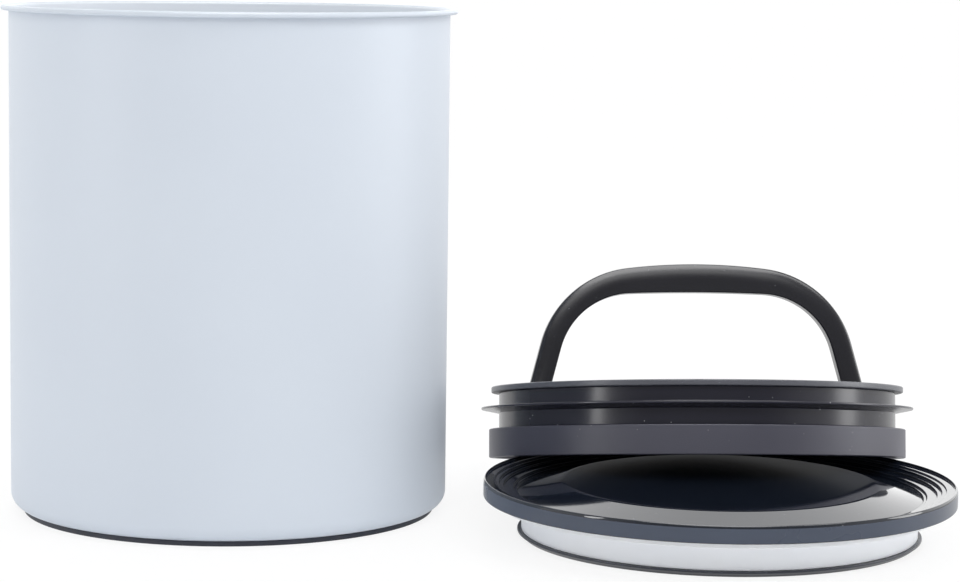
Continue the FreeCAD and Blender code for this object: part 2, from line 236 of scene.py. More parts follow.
def bar(x_from, x_to, radius):
    """Round bar along X at the height of the hinge."""
    bpy.ops.object.select_all(action="DESELECT")
    bpy.ops.mesh.primitive_cylinder_add(
        vertices=BAR_SIDES, radius=radius * MM, depth=(x_to - x_from) * MM, rotation=(0, math.pi / 2, 0),
        location=((x_from + x_to) / 2 * MM, 0, hinge_height * MM))
    return bpy.context.object


def combine(piece, tool, operation):
    """Join a tool to a piece, or cut it away, and delete the tool."""
    pick(piece)
    bpy.ops.object.modifier_add(type="BOOLEAN")
    boolean = piece.modifiers[-1]
    boolean.operation = operation
    boolean.solver = "EXACT"
    boolean.object = tool
    bpy.ops.object.modifier_apply(modifier=boolean.name)
    bpy.data.objects.remove(tool)


print("a round bar has", BAR_SIDES, "sides")

# %% [markdown]
# ## Material helpers
# Colours are written as sRGB hex values, as a paint chart gives them, and turned to linear by one
# function. Another adds a node, sets its options and sets or links its inputs. Patterns read Object
# coordinates, which are metres here, so a scale is simply one over the real size in metres.

# %% Colour and node helpers


def linear(code):
    """Linear RGBA of an sRGB hex colour."""
    channels = [int(code[index:index + 2], 16) / 255 for index in (1, 3, 5)]
    return tuple(c / 12.92 if c <= 0.04045 else ((c + 0.055) / 1.055) ** 2.4 for c in channels) + (1.0,)


def per_mm(size_mm):
    """Texture scale that makes one feature of the pattern about this wide."""
    return 1 / (size_mm * MM)


def add(tree, kind, inputs=None, **options):
    """Add a node, set its options, and set its inputs or link them to other sockets."""
    node = tree.nodes.new(kind)
    for name, value in options.items():
        setattr(node, name, value)
    for name, value in (inputs or {}).items():
        if isinstance(value, bpy.types.NodeSocket):
            tree.links.new(value, node.inputs[name])
        else:
            node.inputs[name].default_value = value
    return node


def new_material(name):
    """An empty node material with its output, and the Object coordinates that patterns read."""
    material = bpy.data.materials.new(name)
    material.use_nodes = True
    tree = material.node_tree
    tree.nodes.clear()
    output = add(tree, "ShaderNodeOutputMaterial")
    place = add(tree, "ShaderNodeTexCoord").outputs["Object"]
    return material, tree, output, place


def dress(piece, *materials):
    """Give a piece its materials, in slot order."""
    piece.data.materials.clear()
    for material in materials:
        piece.data.materials.append(material)


print("a mid grey, #808080, is", round(linear("#808080")[0], 3), "in linear light")

# %% [markdown]
# ## Powder-coated steel
# The canister's outside is powder coat: plastic dust melted on the steel in an oven. It is pale
# blue-grey and satin, and the melt leaves a faint orange peel that only breaks up reflections a
# little. The peel is about a millimetre wide, so it is drawn as a very shallow bump from noise. The
# same recipe coats the inside in a paler tone, which is painted light: it makes up for the shade
# inside the canister.

# %% Powder coat
PEEL_MM = 1.1
PEEL_STRENGTH = 0.05
PEEL_DEPTH_MM = 0.05
CLOUD_MM = 60
COAT_ROUGHNESS = (0.44, 0.5)


def powder_coat(name, dark, light):
    """Satin coat with a faint orange peel, whose tone drifts between two colours."""
    material, tree, output, place = new_material(name)
    peel = add(tree, "ShaderNodeTexNoise", {"Vector": place, "Scale": per_mm(PEEL_MM), "Detail": 2.0})
    cloud = add(tree, "ShaderNodeTexNoise", {"Vector": place, "Scale": per_mm(CLOUD_MM), "Detail": 1.0})
    tone = add(tree, "ShaderNodeMix", {
        "Factor": cloud.outputs["Fac"], "A": linear(dark), "B": linear(light)}, data_type="RGBA")
    gloss = add(tree, "ShaderNodeMapRange", {
        "Value": cloud.outputs["Fac"], "To Min": COAT_ROUGHNESS[0], "To Max": COAT_ROUGHNESS[1]})
    bump = add(tree, "ShaderNodeBump", {
        "Height": peel.outputs["Fac"], "Strength": PEEL_STRENGTH, "Distance": PEEL_DEPTH_MM * MM})
    coat = add(tree, "ShaderNodeBsdfPrincipled", {
        "Base Color": tone.outputs["Result"], "Roughness": gloss.outputs["Result"],
        "Normal": bump.outputs["Normal"], "IOR": 1.5})
    tree.links.new(coat.outputs["BSDF"], output.inputs["Surface"])
    return material


coat = powder_coat("powder_coated_steel", "#CDD5E0", "#D1D9E3")
# The inside's paler tone is painted light, standing in for light that the inside doesn't get.
inside_coat_painted_light = powder_coat("inner_coat_painted_light", "#E6EBF2", "#EAEFF5")
print("coats:", coat.name, "and", inside_coat_painted_light.name)

# %% [markdown]
# ## Bright steel
# The two pins of the handle are drawn from bright steel. Turning leaves fine rings across them, which
# stretch highlights along the pin. The rings are noise that changes quickly along the pins, which lie
# nearly along X, and hardly at all round them. Real ones are finer than the picture can show, so they
# are drawn a third of a millimetre wide.

# %% Bright steel
STEEL_COLOUR = "#C9CACC"
STEEL_ROUGHNESS = (0.26, 0.4)
TOOL_MARK_MM = 0.3
TOOL_MARK_LENGTH_MM = 250
TOOL_MARK_STRENGTH = 0.08
TOOL_MARK_DEPTH_MM = 0.03


def bright_steel():
    """Metal whose gloss and relief follow fine rings across X."""
    material, tree, output, place = new_material("polished_stainless_steel")
    around = per_mm(TOOL_MARK_LENGTH_MM)
    rings = add(tree, "ShaderNodeMapping", {"Vector": place, "Scale": (per_mm(TOOL_MARK_MM), around, around)})
    lines = add(tree, "ShaderNodeTexNoise", {"Vector": rings.outputs["Vector"], "Scale": 1.0, "Detail": 3.0})
    gloss = add(tree, "ShaderNodeMapRange", {
        "Value": lines.outputs["Fac"], "To Min": STEEL_ROUGHNESS[0], "To Max": STEEL_ROUGHNESS[1]})
    bump = add(tree, "ShaderNodeBump", {
        "Height": lines.outputs["Fac"], "Strength": TOOL_MARK_STRENGTH, "Distance": TOOL_MARK_DEPTH_MM * MM})
    steel = add(tree, "ShaderNodeBsdfPrincipled", {
        "Base Color": linear(STEEL_COLOUR), "Metallic": 1.0,
        "Roughness": gloss.outputs["Result"], "Normal": bump.outputs["Normal"]})
    tree.links.new(steel.outputs["BSDF"], output.inputs["Surface"])
    return material


steel = bright_steel()
print("metal:", steel.name)

# %% [markdown]
# ## Rubber, silicone and moulded plastic
# The moulded parts share one recipe with different numbers: a base colour that drifts a little, a
# grain that comes from the mould's surface, and a few pale specks of dust, which cling to dark
# plastic. A speck is drawn round each point of a Voronoi pattern, as a share of the points' spacing.

# %% Recipe of the mouldings
DRIFT_MM = 25
GLOSS_DRIFT = 0.1
GRAIN_DEPTH_MM = 0.1
DUST_SPACING_MM = 4.0
DUST_RADIUS = (0.03, 0.06)
DUST_COLOUR = "#B9BAC0"


def moulding(name, dark, light, roughness, grain_mm, grain, dust=0.0, ior=1.5):
    """Moulded plastic or rubber with a grain, slight drift in tone and specks of dust."""
    material, tree, output, place = new_material(name)
    drift = add(tree, "ShaderNodeTexNoise", {"Vector": place, "Scale": per_mm(DRIFT_MM), "Detail": 2.0})
    fine = add(tree, "ShaderNodeTexNoise", {"Vector": place, "Scale": per_mm(grain_mm), "Detail": 2.0})
    tone = add(tree, "ShaderNodeMix", {
        "Factor": drift.outputs["Fac"], "A": linear(dark), "B": linear(light)}, data_type="RGBA")
    colour = tone.outputs["Result"]
    if dust:
        speck = add(tree, "ShaderNodeTexVoronoi", {"Vector": place, "Scale": per_mm(DUST_SPACING_MM)})
        near = add(tree, "ShaderNodeMapRange", {
            "Value": speck.outputs["Distance"], "From Min": DUST_RADIUS[0], "From Max": DUST_RADIUS[1],
            "To Min": dust, "To Max": 0.0})
        dusty = add(tree, "ShaderNodeMix", {
            "Factor": near.outputs["Result"], "A": colour, "B": linear(DUST_COLOUR)}, data_type="RGBA")
        colour = dusty.outputs["Result"]
    gloss = add(tree, "ShaderNodeMapRange", {
        "Value": drift.outputs["Fac"],
        "To Min": roughness * (1 - GLOSS_DRIFT), "To Max": roughness * (1 + GLOSS_DRIFT)})
    bump = add(tree, "ShaderNodeBump", {
        "Height": fine.outputs["Fac"], "Strength": grain, "Distance": GRAIN_DEPTH_MM * MM})
    shader = add(tree, "ShaderNodeBsdfPrincipled", {
        "Base Color": colour, "Roughness": gloss.outputs["Result"],
        "Normal": bump.outputs["Normal"], "IOR": ior})
    tree.links.new(shader.outputs["BSDF"], output.inputs["Surface"])
    return material


# %% [markdown]
# ## The moulded finishes
# The skirt is textured ABS, whose grain breaks highlights into a soft sheen. The cup is satin ABS,
# painted lighter than the handle's grip: painted light, for the light from above and in front that
# falls on its flange. The grip is darker and glossier. The wiper is silicone, almost without grain,
# and shines like wet rubber. The outer lid's dish comes from a polished mould, so it mirrors the
# tent with only a slow waviness, and the band round its edge is a satin slate. The collar is milky
# polypropylene. The pad is matte rubber, which hardly shines, and the ring under the collar is satin
# rubber. Real grain and dust are finer than the picture can show, so both are drawn coarser than
# they are.

# %% Make the mouldings
pad_rubber = moulding("base_rubber", "#2C303A", "#3A3E49", roughness=0.62, grain_mm=0.6, grain=0.15)
ring_rubber = moulding("ring_rubber", "#262A35", "#2E323D", roughness=0.40, grain_mm=0.6, grain=0.10)
# The cup's satin ABS is painted lighter than the grip: painted light from above and in front.
satin_abs_painted_light = moulding("satin_abs_painted_light", "#50525A", "#565860", roughness=0.36, grain_mm=0.35, grain=0.10, dust=0.2)
grip_abs = moulding("grip_abs", "#14141B", "#191921", roughness=0.23, grain_mm=0.35, grain=0.10, dust=0.3)
matte_abs = moulding("textured_abs", "#3E3E4C", "#454553", roughness=0.46, grain_mm=0.5, grain=0.30, dust=0.5)
silicone = moulding("dark_silicone", "#232330", "#292936",
                    roughness=0.22, grain_mm=1.5, grain=0.03, dust=0.9, ior=1.43)
navy = moulding("polished_navy_plastic", "#151A24", "#191F2A",
                roughness=0.06, grain_mm=8.0, grain=0.02, dust=0.4, ior=1.52)
slate = moulding("satin_slate_plastic", "#3A4252", "#414A5B", roughness=0.28, grain_mm=0.8, grain=0.04)
milky = moulding("milky_polypropylene", "#F6F9FE", "#FAFCFF", roughness=0.38, grain_mm=0.8, grain=0.05)
print("materials:", len(bpy.data.materials))

# %% [markdown]
# ## Canister
# The body is one sheet of steel, spun to a cup, with its mouth turned out and rolled into a bead.
# The section is walked round once, outside and inside, so the wall has its real thickness. What
# shows of the inside, over the rim, is as pale as the outside though less light gets there, so the
# inside's coat is painted paler: painted light that makes up for that shade.

# %% Spin the canister
CANISTER_HEIGHT = 200.0
BODY_RADIUS = 86.7
SHEET = 0.7
BASE_CORNER = 6.0
RIM_RADIUS = 89.8
RIM_BEAD = 1.0
MOUTH_BEND = 1.2
PAD_THICKNESS = 2.0
CORNER_POINTS = 10
UNDER_BEND_POINTS = 4
OVER_BEND_POINTS = 6
RIM_POINTS = 14
WALL_RINGS = (0.25, 0.5, 0.75)
UPWARD = 0.1


def canister_section():
    """The sheet's outside from the base's middle to the rolled rim, and its inside back down."""
    bore = BODY_RADIUS - SHEET
    corner = (BODY_RADIUS - BASE_CORNER, PAD_THICKNESS + BASE_CORNER)
    bend = (bore + MOUTH_BEND, CANISTER_HEIGHT - MOUTH_BEND)
    bead = (RIM_RADIUS - RIM_BEAD, CANISTER_HEIGHT - RIM_BEAD)
    under = math.degrees(math.asin((CANISTER_HEIGHT - SHEET - bead[1]) / RIM_BEAD))
    section = [(0, PAD_THICKNESS)]
    section += arc(corner, BASE_CORNER, -90, 0, CORNER_POINTS)
    section += [(BODY_RADIUS, CANISTER_HEIGHT * part) for part in WALL_RINGS]
    section += arc(bend, MOUTH_BEND - SHEET, 180, 90, UNDER_BEND_POINTS)
    section += arc(bead, RIM_BEAD, -180 - under, 90, RIM_POINTS)
    section += arc(bend, MOUTH_BEND, 90, 180, OVER_BEND_POINTS)
    section += [(bore, CANISTER_HEIGHT * part) for part in reversed(WALL_RINGS)]
    section += arc(corner, BASE_CORNER - SHEET, 0, -90, CORNER_POINTS)
    return section + [(0, PAD_THICKNESS + SHEET)]


canister = turned("canister_body", canister_section())
# Faces inside the wall take the paler coat, which is painted light for the shade inside.
dress(canister, coat, inside_coat_painted_light)
for face in canister.data.polygons:
    across = face.center.xy
    inward = face.normal.xy.dot(across) < 0 or face.normal.z > UPWARD
    face.material_index = int(inward and across.length < (BODY_RADIUS - SHEET / 2) * MM)
set_down(canister, (0, 0, 0))
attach(canister, "canister")
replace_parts(canister, "canister_shell")

# %% [markdown]
# ## Base pad
# A rubber disc is glued under the base so that the canister doesn't slide. It is set in from the
# rounded corner, so from the front only its dark edge shows. Its foot has a soft edge.

# %% Turn the pad
PAD_RADIUS = 81.7
PAD_EDGE = 0.4

pad = turned("base_pad_rubber", [
    (0, 0), (PAD_RADIUS, 0), (PAD_RADIUS, PAD_THICKNESS), (0, PAD_THICKNESS)], PAD_EDGE)
dress(pad, pad_rubber)
set_down(pad, (0, 0, 0))
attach(pad, "canister")
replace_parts(pad, "base_pad")

# %% [markdown]
# ## Outer lid
# The dark lid is a stepped dish whose edge folds down into a channel that caps the rolled rim. The
# lip ends in a glossy bead, tight inside and taller outside, which draws a thin line of light. The
# section is written from the middle of the disc outwards, and each step is an inset from the lid's
# edge with a depth below its top, as it would be measured with a caliper.

# %% Section of the dish
LID_RADIUS = 90.95
LID_HEIGHT = 21.8
LID_BAND = 6.8
LIP_WALL = 0.9
LID_PLATE = 1.6
CHANNEL_DEPTH = 4.0
LOCATOR_RADIUS = 85.75
DISH_STEPS = ((4.4, 1.0), (6.1, 1.6), (7.9, 2.6), (11.8, 3.6), (13.1, 4.4))
DISH_DEPTH = 5.2
DISC_INSET = 30.5
DISC_RISE = 4.6
DISC_EDGE = 0.5
REBATE_INSET = 12.0
REBATE_DEPTH = 5.5
COLLAR_INSET = 14.8
COLLAR_WALL = 1.6
BEAD_INNER = 0.25
BEAD_DROP = 1.4
BEAD_POINTS = 10

lip = LID_RADIUS - LIP_WALL
dish_floor = LID_HEIGHT - DISH_DEPTH
disc_top = dish_floor + DISC_RISE
disc_radius = LID_RADIUS - DISC_INSET
rebate = LID_RADIUS - REBATE_INSET
plate_under = dish_floor - LID_PLATE
band = LID_HEIGHT - LID_BAND
rebate_top = LID_HEIGHT - REBATE_DEPTH
collar_radius = LID_RADIUS - COLLAR_INSET


def lip_bead():
    """Rounded top of the lip: a small arc inside and a taller quarter ellipse outside."""
    inside = arc((lip + BEAD_INNER, LID_HEIGHT - BEAD_INNER), BEAD_INNER, 180, 90, BEAD_POINTS // 2)
    stretch = BEAD_DROP / (LIP_WALL - BEAD_INNER)
    outside = arc((0, 0), LIP_WALL - BEAD_INNER, 90, 0, BEAD_POINTS)[1:]
    return inside + [(lip + BEAD_INNER + x, LID_HEIGHT - BEAD_DROP + y * stretch) for x, y in outside]


def dish_section():
    """The dish's top from its raised disc up the steps to the lip, then the channel and underside."""
    fall = DISC_RISE / (LID_RADIUS - DISH_STEPS[-1][0] - disc_radius)
    section = [(0, disc_top), (disc_radius - 2 * DISC_EDGE, disc_top), (disc_radius - DISC_EDGE, disc_top)]
    section += [(disc_radius + out, disc_top - fall * out) for out in (DISC_EDGE, 2 * DISC_EDGE)]
    level = dish_floor
    for inset, depth in reversed(DISH_STEPS):
        section.append((LID_RADIUS - inset, level))
        level = LID_HEIGHT - depth
        section.append((LID_RADIUS - inset, level))
    section += [(lip, level)] + lip_bead() + [(LID_RADIUS, band), (lip, band)]
    section += [(lip, band + CHANNEL_DEPTH), (LOCATOR_RADIUS, band + CHANNEL_DEPTH)]
    section += [(LOCATOR_RADIUS, rebate_top), (rebate, rebate_top), (rebate, plate_under)]
    section += [(collar_radius - COLLAR_WALL, plate_under), (disc_radius, disc_top - LID_PLATE)]
    return section + [(0, disc_top - LID_PLATE)]


print("the dish's section has", len(dish_section()), "corners")

# %% [markdown]
# ## Collar and foot ring
# A pale collar is set in a rebate under the dish, and a dark soft ring round the collar's foot is what
# the lid stands on. Both sections end where they began, so that each is a true solid when it is spun.

# %% Sections of the collar and the ring
COLLAR_FLANGE = 3.9
FOOT_WALL = 3.4
RING_HEIGHT = 2.3
RING_OVERHANG = 1.6
RING_LIP = 0.7
RING_STEP = (1.1, 0.6)
RING_TAPER = 1.0
JOINT_GAP = 0.1


def collar_section():
    """The collar's wall, with a thick foot for the ring and a flange that fills the rebate."""
    wall = collar_radius - COLLAR_WALL
    seat = rebate + JOINT_GAP
    section = [(wall, plate_under), (wall, RING_HEIGHT + FOOT_WALL - COLLAR_WALL)]
    section += [(collar_radius - FOOT_WALL, RING_HEIGHT), (collar_radius, RING_HEIGHT)]
    section += [(collar_radius, rebate_top - COLLAR_FLANGE), (LOCATOR_RADIUS, rebate_top - COLLAR_FLANGE)]
    section += [(LOCATOR_RADIUS, rebate_top), (seat, rebate_top), (seat, plate_under)]
    return section + [(wall, plate_under)]


def ring_section():
    """The ring: a tapered foot under a thin lip that stands out past the collar."""
    inner = collar_radius - FOOT_WALL
    outer = collar_radius + RING_OVERHANG
    waist = outer - RING_STEP[0]
    step_top = RING_HEIGHT - RING_LIP
    section = [(inner, 0), (waist - RING_TAPER, 0), (waist, step_top - RING_STEP[1]), (outer, step_top)]
    return section + [(outer, RING_HEIGHT), (inner, RING_HEIGHT), (inner, 0)]


print("collar:", len(collar_section()), "corners, ring:", len(ring_section()))

# %% [markdown]
# ## Turning the outer lid
# The three sections are spun in one loop, because each piece takes the same steps. Only the dish has
# two finishes: the band below the lip is satin, so the faces out there that look straight outwards
# take the second material, and the rest keep the polish.

# %% Turn the outer lid, its collar and the ring
DISH_EDGE = 0.35
COLLAR_EDGE = 0.3
RING_EDGE = 0.25
BAND_FACING = 0.1

for name, section, edge_mm, node, finishes, slot in (
        ("outer_lid_dish", dish_section(), DISH_EDGE, "outer_lid", (navy, slate), "smoked_plastic"),
        ("outer_lid_collar", collar_section(), COLLAR_EDGE, "lid_collar", (milky,), "pale_plastic"),
        ("outer_lid_foot_ring", ring_section(), RING_EDGE, "collar_ring", (ring_rubber,), "pad_rubber")):
    piece = turned(name, section, edge_mm)
    dress(piece, *finishes)
    if slate in finishes:
        for face in piece.data.polygons:
            face.material_index = int(face.center.xy.length > lip * MM and abs(face.normal.z) < BAND_FACING)
    set_down(piece, outer_foot)
    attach(piece, "outer_lid")
    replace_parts(piece, node)

# %% [markdown]
# ## Inner lid
# The inner lid is a cup with a flange, standing in a matte skirt. Round its neck sits a silicone
# sleeve whose thin fin wipes the canister's wall. All three are turned upright and tipped back
# together.

# %% Turn the skirt and the wiper
PLUNGER_HEIGHT = 29.1
SKIRT_RADIUS = 85.5
SKIRT_WALL = 2.3
SKIRT_EDGE = 0.6
SKIRT_LEDGE_WIDTH = 3.4
SKIRT_LEDGE = 1.5
LEDGE = 1.0
NECK_RADIUS = 81.4
SLEEVE_WALL = 2.0
FLANGE = 2.4
FIN_RADIUS = 88.7
FIN_HEIGHT = 19.6
FIN_ROOT = 2.6
FIN_TIP = 0.9
FIN_UPTURN = 0.6
FIN_EDGE = 0.3

skirt_inner = SKIRT_RADIUS - SKIRT_WALL
ledge_bottom = SKIRT_HEIGHT - LEDGE
flange_bottom = PLUNGER_HEIGHT - FLANGE


def inner_lid_piece(piece, material, body="inner_lid"):
    """Tip a finished piece of the inner lid into place and let it ride."""
    dress(piece, material)
    set_down(piece, inner_foot, lean, heading)
    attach(piece, body)
    return piece


ledge_inner = skirt_inner - SKIRT_LEDGE_WIDTH
skirt = turned("plunger_skirt_ring", [
    (skirt_inner, 0), (SKIRT_RADIUS, 0), (SKIRT_RADIUS, SKIRT_HEIGHT), (skirt_inner, SKIRT_HEIGHT),
    (skirt_inner, ledge_bottom), (ledge_inner, ledge_bottom), (ledge_inner, ledge_bottom - SKIRT_LEDGE),
    (skirt_inner, ledge_bottom - SKIRT_LEDGE), (skirt_inner, 0)], SKIRT_EDGE)
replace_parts(inner_lid_piece(skirt, matte_abs), "plunger_skirt")

fin_tip = FIN_HEIGHT + FIN_UPTURN
sleeve_inner = NECK_RADIUS - SLEEVE_WALL
wiper = turned("wiper_sleeve", [
    (sleeve_inner, SKIRT_HEIGHT), (NECK_RADIUS, SKIRT_HEIGHT), (NECK_RADIUS, FIN_HEIGHT - FIN_ROOT / 2),
    (FIN_RADIUS, fin_tip - FIN_TIP / 2), (FIN_RADIUS, fin_tip + FIN_TIP / 2),
    (NECK_RADIUS, FIN_HEIGHT + FIN_ROOT / 2), (NECK_RADIUS, flange_bottom), (sleeve_inner, flange_bottom),
    (sleeve_inner, SKIRT_HEIGHT)], FIN_EDGE)
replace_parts(inner_lid_piece(wiper, silicone), "wiper_seal")

# %% [markdown]
# ## Sizes inside the inner lid
# The cup, the handle and the valve fit one another, so their places are worked out in a chain, from
# the cup's wall inwards: ear, hub, leg, bearing and tower. Each link has its own clearance, and a
# changed size moves everything after it.

# %% Work out the cup
CUP_WALL = 2.5
CUP_FLOOR = 2.0
CUP_EDGE = 0.6
FLANGE_RADIUS = 84.6
LUG_WALL_GAP = 2.0
LUG_THICKNESS = 3.2
LUG_WIDTH = 8.0
LUG_EDGE = 0.3
LUG_POINTS = 24
LEG_LEAN = 15.0
LEG_WIDTH = 8.8
SIDE_CLEARANCE = 0.3
BEARING_LENGTH = 4.5
TOWER_BORE = 7.0
TOWER_WALL = 1.4
TOWER_RISE = 4.25
PORT_RADIUS = 3.5
SEAT_WIDTH = 1.2
SEAT_HEIGHT = 0.6
PIN_RADIUS = 1.75
FIXED_CLEARANCE = 0.02
RUNNING_CLEARANCE = 0.06
CUT_MARGIN = 0.5

cup_outer = NECK_RADIUS - SLEEVE_WALL - JOINT_GAP
cup_radius = cup_outer - CUP_WALL
floor_top = ledge_bottom + CUP_FLOOR
rooted = floor_top - CUP_FLOOR / 2
lug_outer = cup_radius - LUG_WALL_GAP
hub_outer = lug_outer - LUG_THICKNESS - SIDE_CLEARANCE
leg_inner = hub_outer - LEG_WIDTH
hub_inner = leg_inner - LUG_WIDTH / 2 * math.tan(math.radians(LEG_LEAN))
bearing_face = hub_inner - SIDE_CLEARANCE
tower_radius = TOWER_BORE + TOWER_WALL
valve_x = bearing_face - BEARING_LENGTH - tower_radius
print(f"the cup is {2 * cup_radius:.1f} mm wide inside, and the valve stands at {valve_x:.1f} mm")

# %% [markdown]
# ## Cup of the inner lid
# The cup is turned first. Then come the things on its floor that make the handle and the valve work:
# four ears that hold the handle's pins, and a round tower over the vent port. The ears are plates
# with round tops. All are joined to the cup, and the port and the holes for the pins are cut last.

# %% Model the cup


def ear(x_from, x_to):
    """Upright plate with a round top, rooted in the cup's floor."""
    half = LUG_WIDTH / 2
    outline = [(-half, rooted), (half, rooted)] + arc((0, hinge_height), half, 0, 180, LUG_POINTS)
    lug = plate("ear", [(x_from, y, z) for y, z in outline], (x_to - x_from, 0, 0))
    return soften(lug, LUG_EDGE)


def tube(inner, outer, top):
    """Short upright tube over the vent port, rooted in the cup's floor."""
    ring = turned("tube", [(inner, rooted), (outer, rooted), (outer, top), (inner, top), (inner, rooted)])
    return set_down(ring, (valve_x * MM, 0, 0))


def cup_body():
    """The cup with its tower, valve seat and ears joined to it, and the port and pin holes cut."""
    cup = turned("plunger_cup", [
        (0, ledge_bottom), (skirt_inner - JOINT_GAP, ledge_bottom), (skirt_inner - JOINT_GAP, SKIRT_HEIGHT),
        (cup_outer, SKIRT_HEIGHT), (cup_outer, flange_bottom), (FLANGE_RADIUS, flange_bottom),
        (FLANGE_RADIUS, PLUNGER_HEIGHT), (cup_radius, PLUNGER_HEIGHT), (cup_radius, floor_top),
        (0, floor_top)], CUP_EDGE)
    combine(cup, tube(TOWER_BORE, tower_radius, hinge_height + TOWER_RISE), "UNION")
    combine(cup, tube(PORT_RADIUS - CUT_MARGIN, PORT_RADIUS + SEAT_WIDTH, floor_top + SEAT_HEIGHT), "UNION")
    for x_from, x_to in (
            (lug_outer - LUG_THICKNESS, lug_outer), (-lug_outer, LUG_THICKNESS - lug_outer),
            (-bearing_face, LUG_THICKNESS - bearing_face), (valve_x + TOWER_BORE, bearing_face)):
        combine(cup, ear(x_from, x_to), "UNION")
    bpy.ops.object.select_all(action="DESELECT")
    bpy.ops.mesh.primitive_cylinder_add(
        vertices=BAR_SIDES, radius=PORT_RADIUS * MM, depth=PLUNGER_HEIGHT * MM,
        location=(valve_x * MM, 0, 0))
    combine(cup, bpy.context.object, "DIFFERENCE")
    end = lug_outer + CUT_MARGIN
    combine(cup, bar(-end, -valve_x, PIN_RADIUS + FIXED_CLEARANCE), "DIFFERENCE")
    combine(cup, bar(valve_x, end, PIN_RADIUS + RUNNING_CLEARANCE), "DIFFERENCE")
    return soften(cup, 0.0)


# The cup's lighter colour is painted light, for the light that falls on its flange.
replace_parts(inner_lid_piece(cup_body(), satin_abs_painted_light), "plunger_body")

# %% [markdown]
# ## Handle
# The handle is a flat arch. Its outline is walked in the XZ plane: two leaning legs, two shoulder
# arcs and a slightly crowned bar, outside and then back inside. A shoulder's centre is worked out so
# that its arc runs into the leg and the crown without a kink.

# %% Outline of the arch
HANDLE_RISE = 51.0
BAR_DEPTH = 11.7
SHOULDERS = (42.0, 30.6)
CROWNS = (235.0, 670.0)
ARCH_POINTS = 24


def arch(foot, apex, shoulder, crown):
    """Points of an arch from the right foot to the left one, in the XZ plane."""
    turn = math.radians(LEG_LEAN)
    along = Vector((-math.sin(turn), math.cos(turn)))
    inward = Vector((-math.cos(turn), -math.sin(turn)))
    crown_centre = Vector((0, apex - crown))
    offset = Vector((foot, hinge_height)) + shoulder * inward - crown_centre
    half = offset.dot(along)
    run = -half + math.sqrt(half ** 2 - offset.length_squared + (crown - shoulder) ** 2)
    centre = offset + run * along + crown_centre
    reach = centre - crown_centre
    crown_angle = math.degrees(math.atan2(reach.y, reach.x))
    right = [(foot, hinge_height)] + arc(centre, shoulder, LEG_LEAN, crown_angle, ARCH_POINTS)
    top = arc(crown_centre, crown, crown_angle, 180 - crown_angle, ARCH_POINTS)[1:-1]
    return right + top + [(-x, z) for x, z in reversed(right)]


handle_top = PLUNGER_HEIGHT + HANDLE_RISE
outer_arch = arch(hub_outer, handle_top, SHOULDERS[0], CROWNS[0])
inner_arch = arch(leg_inner, handle_top - BAR_DEPTH, SHOULDERS[1], CROWNS[1])
print("the arch's outline has", len(outer_arch) + len(inner_arch), "points")

# %% [markdown]
# ## Crest, hubs and holes of the handle
# The handle's outer front edge is rounded much wider than it is deep. A bevel is equal both ways, so
# the plate is made too thick, bevelled, and squeezed back, which turns the quarter circle into a
# quarter ellipse. The hubs on its feet and the holes for the pins come last.

# %% Model the handle
HANDLE_THICKNESS = 7.5
HANDLE_EDGE = 0.8
HANDLE_EDGE_SEGMENTS = 4
SLOPE_WIDTH = 6.4
SLOPE_DEPTH = 1.7
SLOPE_SEGMENTS = 8
HUB_RADIUS = 5.0


def rounded(values):
    """Coordinates in millimetres to a hundredth, so that points can be compared."""
    return tuple(round(value, 2) for value in values)


def round_crest(piece, crest, front):
    """Bevel the front edges that run along the crest, given as (x, z) points in millimetres."""
    crest_ends = {rounded((x, front, z)) for x, z in crest}
    bpy.ops.object.mode_set(mode="EDIT")
    bpy.ops.mesh.select_mode(type="EDGE")
    bpy.ops.mesh.select_all(action="DESELECT")
    bpy.ops.object.mode_set(mode="OBJECT")
    vertices = piece.data.vertices
    for edge in piece.data.edges:
        ends = [rounded(c / MM for c in vertices[index].co) for index in edge.vertices]
        edge.select = all(end in crest_ends for end in ends)
    bpy.ops.object.mode_set(mode="EDIT")
    bpy.ops.mesh.bevel(offset=SLOPE_WIDTH * MM, segments=SLOPE_SEGMENTS, affect="EDGES")
    bpy.ops.object.mode_set(mode="OBJECT")


def handle_grip():
    """The arch with its rounded crest and edges, hubs joined to its feet and pin holes cut."""
    stretch = SLOPE_WIDTH / SLOPE_DEPTH
    front = -HANDLE_THICKNESS / 2 * stretch
    outline = [(x, front, z) for x, z in outer_arch + inner_arch[::-1]]
    grip = plate("handle_arch", outline, (0, -2 * front, 0))
    round_crest(grip, outer_arch, front)
    grip.scale = (1, 1 / stretch, 1)
    set_down(grip, (0, 0, 0))
    soften(grip, HANDLE_EDGE, HANDLE_EDGE_SEGMENTS)
    for side in (-1, 1):
        ends = sorted((side * hub_inner, side * hub_outer))
        combine(grip, bar(*ends, HUB_RADIUS), "UNION")
    combine(grip, bar(-lug_outer, 0, PIN_RADIUS + RUNNING_CLEARANCE), "DIFFERENCE")
    combine(grip, bar(0, lug_outer, PIN_RADIUS + FIXED_CLEARANCE), "DIFFERENCE")
    return soften(grip, 0.0)


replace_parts(inner_lid_piece(handle_grip(), grip_abs, "handle"), "handle")

# %% [markdown]
# ## Finishes of the small parts
# The pins, the valve's stem, its washer and its cap keep their imported shapes, because their forms
# are right as they are. They only get finishes: bright steel, the cup's satin plastic, whose lighter
# tone is painted light, and silicone.

# %% Dress the imported nodes
for node, material in (
        ("hinge_pin", steel), ("valve_shaft", steel), ("valve_cap", satin_abs_painted_light),
        ("valve_stem", satin_abs_painted_light), ("valve_seal", silicone)):
    dress(frame["nodes"][node], material)
    print(node, "is dressed in", material.name)

# %% [markdown]
# ## Floor and light
# The picture was taken in a light tent: white cloth all round and overhead, on a white table, and an
# opening at the front for the camera. The floor is that table. It takes shadows as a matt cloth does,
# and most of what the camera and the reflections see of it is plain white.

# %% Lay the floor
WHITE = "#FFFFFF"
FLOOR_SIZE_M = 60.0
FLOOR_ROUGHNESS = 0.6
FLOOR_WHITENING = 0.85


